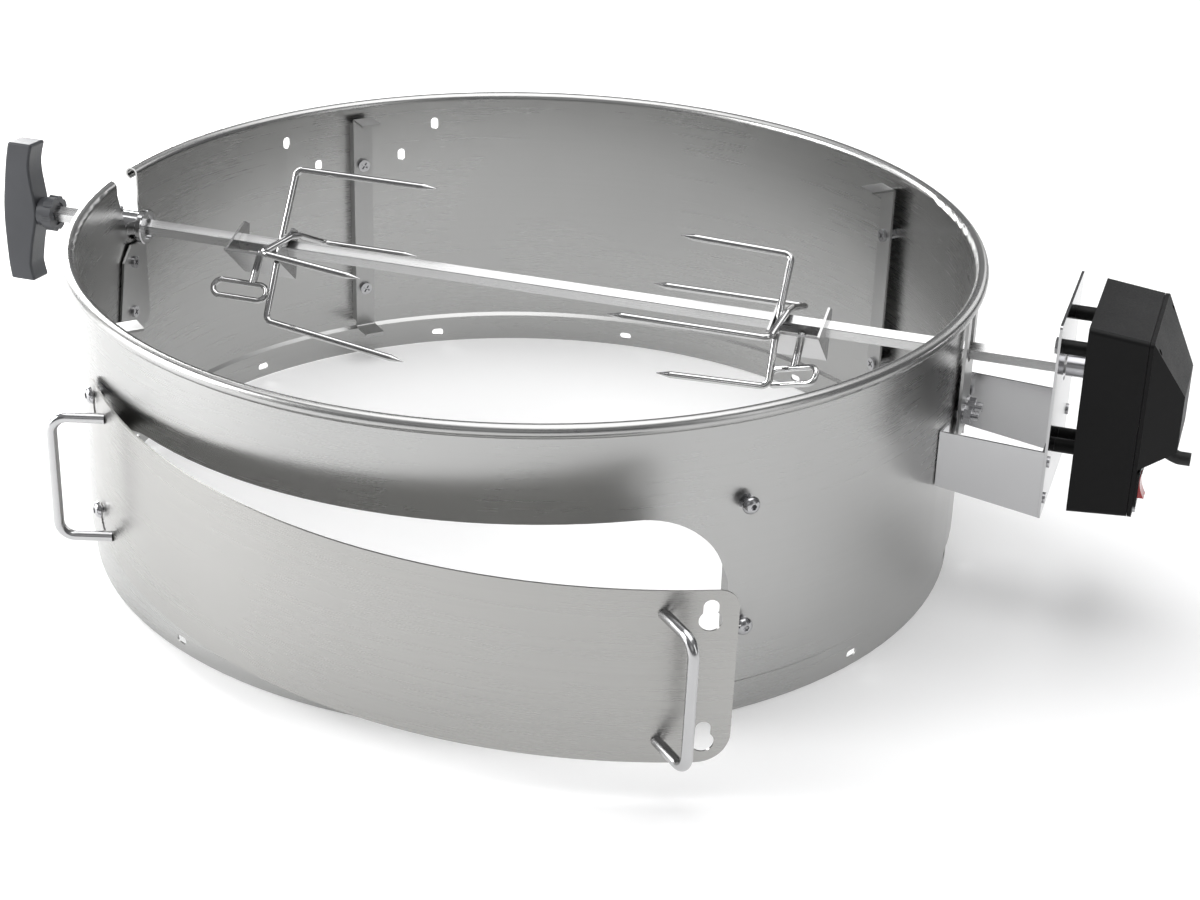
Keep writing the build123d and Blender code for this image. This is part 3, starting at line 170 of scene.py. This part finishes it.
def ring_steel(name, color, rough, aniso=0.65, contrast=0.018, bump=0.004):
    """Brushed round the ring: the grain runs at constant height."""
    t = Tree(name)
    streak = t.noise(t.coords((2.2, 0, 0), (0, 2.2, 0), (0, 0, 330.0)), detail=5, rough=0.65)
    hair = t.noise(t.coords((9, 0, 0), (0, 9, 0), (0, 0, 1500.0)), detail=3, rough=0.6)
    marks = t.noise(t.pos, scale=6.0, detail=5, rough=0.6, dist=0.5)
    both = t.math("ADD", t.math("MULTIPLY", streak, 0.55), t.math("MULTIPLY", hair, 0.45))
    t.link(t.ramp(both, shade(color, 1 - contrast), shade(color, 1 + contrast * 0.8)), t.bsdf.inputs["Base Color"])
    r = t.math("ADD", t.remap(both, rough - 0.012, rough + 0.015), t.remap(marks, -0.015, 0.02))
    t.link(r, t.bsdf.inputs["Roughness"])
    t.set(Metallic=1.0, Anisotropic=aniso)
    g = t.t.nodes.new("ShaderNodeTangent")
    g.direction_type = "RADIAL"
    g.axis = "Z"
    t.link(g.outputs[0], t.bsdf.inputs["Tangent"])
    t.link(t.bump(both, bump, 0.0004), t.bsdf.inputs["Normal"])
    return t.mat


def plated(name, color, rough, contrast=0.06, scale=60.0):
    """Nickel or zinc plating: bright, with a faint mottle and drawn-wire marks."""
    t = Tree(name)
    mott = t.noise(t.pos, scale=scale, detail=5, rough=0.6)
    fine = t.noise(t.coords((60, 0, 0), (0, 1200, 0), (0, 0, 1200)), detail=3)
    t.link(t.ramp(mott, shade(color, 1 - contrast), shade(color, 1 + contrast)), t.bsdf.inputs["Base Color"])
    t.link(t.math("ADD", t.remap(mott, rough - 0.01, rough + 0.015), t.remap(fine, -0.005, 0.008)), t.bsdf.inputs["Roughness"])
    t.set(Metallic=1.0)
    return t.mat


def plastic(name, color, rough, grain=900.0, bump=0.10, var=0.15, coat=0.0):
    """Moulded plastic: spark-eroded grain, slight sheen variation where it is handled."""
    t = Tree(name)
    g1 = t.noise(t.pos, scale=grain, detail=3, rough=0.6)
    g2 = t.noise(t.pos, scale=14.0, detail=5, rough=0.6, dist=0.3)
    t.link(t.ramp(g2, shade(color, 1 - var), shade(color, 1 + var)), t.bsdf.inputs["Base Color"])
    t.link(t.math("ADD", t.remap(g1, rough - 0.04, rough + 0.06), t.remap(g2, -0.05, 0.05)), t.bsdf.inputs["Roughness"])
    if coat:
        t.set(Coat_Weight=coat)
    t.link(t.bump(g1, bump, 0.0003), t.bsdf.inputs["Normal"])
    return t.mat


RING = ring_steel("ring_stainless", (0.405, 0.405, 0.40), 0.27)
POST = brushed("post_stainless", (0.38, 0.38, 0.377), 0.32, (0, 0, 1), (1, 1, 0), aniso=0.4, tangent=None)
MOUNT = brushed("mount_steel", (0.43, 0.43, 0.435), 0.18, (1, 0, 0), (0, 0, 1), aniso=0.2, tangent=None)
DOOR = brushed("door_stainless", (0.36, 0.357, 0.347), 0.27, (1, 0, 0), DOOR_Z, aniso=0.6, contrast=0.03)
WIRE = plated("handle_wire_steel", (0.46, 0.46, 0.465), 0.18, contrast=0.02)
SPIT = brushed("spit_plated_steel", (0.54, 0.54, 0.54), 0.27, (1, 0, 0), (0, 1, 1), aniso=0.4, fine=1600, contrast=0.03, tangent=None)
FORK = plated("fork_plated_steel", (0.44, 0.44, 0.44), 0.22, contrast=0.04)
PRONG = plated("prong_chrome", (0.52, 0.52, 0.52), 0.12, contrast=0.02)
CHROME = plated("bushing_chrome", (0.48, 0.48, 0.485), 0.09, contrast=0.03)
BOLT = plated("fastener_steel", (0.42, 0.42, 0.43), 0.20, contrast=0.08, scale=300)
GRIP = plastic("handle_black_plastic", (0.034, 0.036, 0.041), 0.42)
HOUSE = plastic("housing_black_plastic", (0.004, 0.004, 0.0042), 0.46)
STAND = plastic("standoff_black", (0.006, 0.006, 0.006), 0.40)
RUBBER = plastic("gland_black_rubber", (0.008, 0.008, 0.008), 0.55)
SWITCH = plastic("switch_black", (0.006, 0.006, 0.006), 0.28)
ROCKER = plastic("rocker_red", (0.45, 0.008, 0.008), 0.26, grain=500, bump=0.03, coat=0.4)
NYLON = plastic("gear_nylon", (0.78, 0.76, 0.69), 0.42, var=0.05)
GEARBOX = plated("gearbox_steel", (0.50, 0.50, 0.52), 0.30, contrast=0.10)
for m_ in (HOUSE, STAND, SWITCH):
    m_.node_tree.nodes["Principled BSDF"].inputs["Specular IOR Level"].default_value = 0.16
BY_SLOT = {"ring_stainless": RING, "post_stainless": POST, "mount_steel": MOUNT, "door_stainless": DOOR,
           "handle_wire_steel": WIRE, "spit_plated_steel": SPIT, "fork_plated_steel": FORK, "prong_chrome": PRONG,
           "bushing_chrome": CHROME, "fastener_steel": BOLT, "handle_black_plastic": GRIP,
           "housing_black_plastic": HOUSE, "standoff_black": STAND, "gland_black_rubber": RUBBER,
           "switch_black": SWITCH, "rocker_red": ROCKER, "gear_nylon": NYLON, "gearbox_steel": GEARBOX}
for sp in frame["record"]["subparts"]:
    o = N[sp["node"]]
    o.data.materials.clear()
    o.data.materials.append(BY_SLOT[sp["material_slot"]])

# ---------------------------------------------------------------------------
# floor, light, camera
# ---------------------------------------------------------------------------
scene = bpy.context.scene
lo_z = CAD_BOX[0][2] if not hasattr(CAD_BOX[0], "z") else CAD_BOX[0].z
bm = bmesh.new()
seg = 64
vs = [bm.verts.new((6 * math.cos(2 * math.pi * k / seg), 6 * math.sin(2 * math.pi * k / seg), lo_z - 0.0005)) for k in range(seg)]
bm.faces.new(vs)
fm = bpy.data.meshes.new("floor")
bm.to_mesh(fm)
bm.free()
floor = bpy.data.objects.new("floor", fm)
scene.collection.objects.link(floor)
t = Tree("floor_white")
fn = t.noise(t.pos, scale=3.0, detail=2)
t.link(t.ramp(fn, (0.86, 0.86, 0.86), (0.88, 0.88, 0.88)), t.bsdf.inputs["Base Color"])
t.set(Roughness=0.6, Emission_Color=(1, 1, 1, 1), Emission_Strength=0.16)
fm.materials.append(t.mat)

world = bpy.data.worlds.new("studio")
scene.world = world
world.use_nodes = True
wt = world.node_tree
wt.nodes.clear()
wo = wt.nodes.new("ShaderNodeOutputWorld")
bg_cam = wt.nodes.new("ShaderNodeBackground")
bg_cam.inputs[0].default_value = (1, 1, 1, 1)
bg_cam.inputs[1].default_value = 1.15
bg_env = wt.nodes.new("ShaderNodeBackground")
lp = wt.nodes.new("ShaderNodeLightPath")
mix = wt.nodes.new("ShaderNodeMixShader")
# soft studio surround: brighter overhead, darker bands between the side softboxes
tc = wt.nodes.new("ShaderNodeTexCoord")
sep = wt.nodes.new("ShaderNodeSeparateXYZ")
wt.links.new(tc.outputs["Generated"], sep.inputs[0])
wr = wt.nodes.new("ShaderNodeValToRGB")
wr.color_ramp.elements[0].position = 0.0
wr.color_ramp.elements[0].color = (0.55, 0.55, 0.56, 1)
wr.color_ramp.elements[1].position = 1.0
wr.color_ramp.elements[1].color = (0.80, 0.80, 0.81, 1)
e = wr.color_ramp.elements.new(0.30)
e.color = (0.30, 0.30, 0.31, 1)
wt.links.new(sep.outputs["Z"], wr.inputs[0])
wt.links.new(wr.outputs[0], bg_env.inputs[0])
bg_env.inputs[1].default_value = 0.50
wt.links.new(lp.outputs["Is Camera Ray"], mix.inputs[0])
wt.links.new(bg_env.outputs[0], mix.inputs[1])
wt.links.new(bg_cam.outputs[0], mix.inputs[2])
wt.links.new(mix.outputs[0], wo.inputs[0])


def area(name, loc, target, size, power, sy=None):
    l = bpy.data.lights.new(name, "AREA")
    l.shape = "RECTANGLE"
    l.size = size
    l.size_y = sy or size
    l.energy = power
    o = bpy.data.objects.new(name, l)
    o.location = loc
    d = Vector(target) - Vector(loc)
    o.rotation_euler = d.to_track_quat("-Z", "Y").to_euler()
    scene.collection.objects.link(o)
    return o


area("key_top", (0.1, 0.2, 2.3), (0, 0, 0), 2.6, 50)
area("left_box", (-2.1, -0.9, 0.9), (-0.1, 0, 0.1), 1.2, 60, 1.5)
area("left_back", (-1.7, 1.3, 0.7), (-0.2, -0.1, 0.1), 1.1, 46, 1.3)
area("right_box", (2.1, -0.7, 0.9), (0.2, 0, 0.1), 0.5, 5, 1.4)
area("front_fill", (0.5, -2.6, 1.3), (0, 0, 0.1), 1.6, 2, 1.0)
area("back_strip", (0.9, 2.1, 1.0), (0, 0, 0.1), 1.0, 5, 0.8)

cam = bpy.data.cameras.new("camera")
cam.lens = 71.07
cam.sensor_width = 36.0
cam.sensor_fit = "HORIZONTAL"
cam.clip_start = 0.01
cam.clip_end = 50
co = bpy.data.objects.new("camera", cam)
fwd = Vector((-0.266623, 0.857702, -0.439612)).normalized()
right = fwd.cross(Vector((0, 0, 1))).normalized()
up = right.cross(fwd).normalized()
c, s = math.cos(0.031), math.sin(0.031)
r2, u2 = right * c + up * s, up * c - right * s
m = Matrix((r2, u2, -fwd)).transposed().to_4x4()
m.translation = Vector((0.464853, -1.328338, 0.730441))
co.matrix_world = m
scene.collection.objects.link(co)
scene.camera = co
scene.view_settings.view_transform = "Standard"
scene.view_settings.look = "None"
scene.view_settings.exposure = 0.0

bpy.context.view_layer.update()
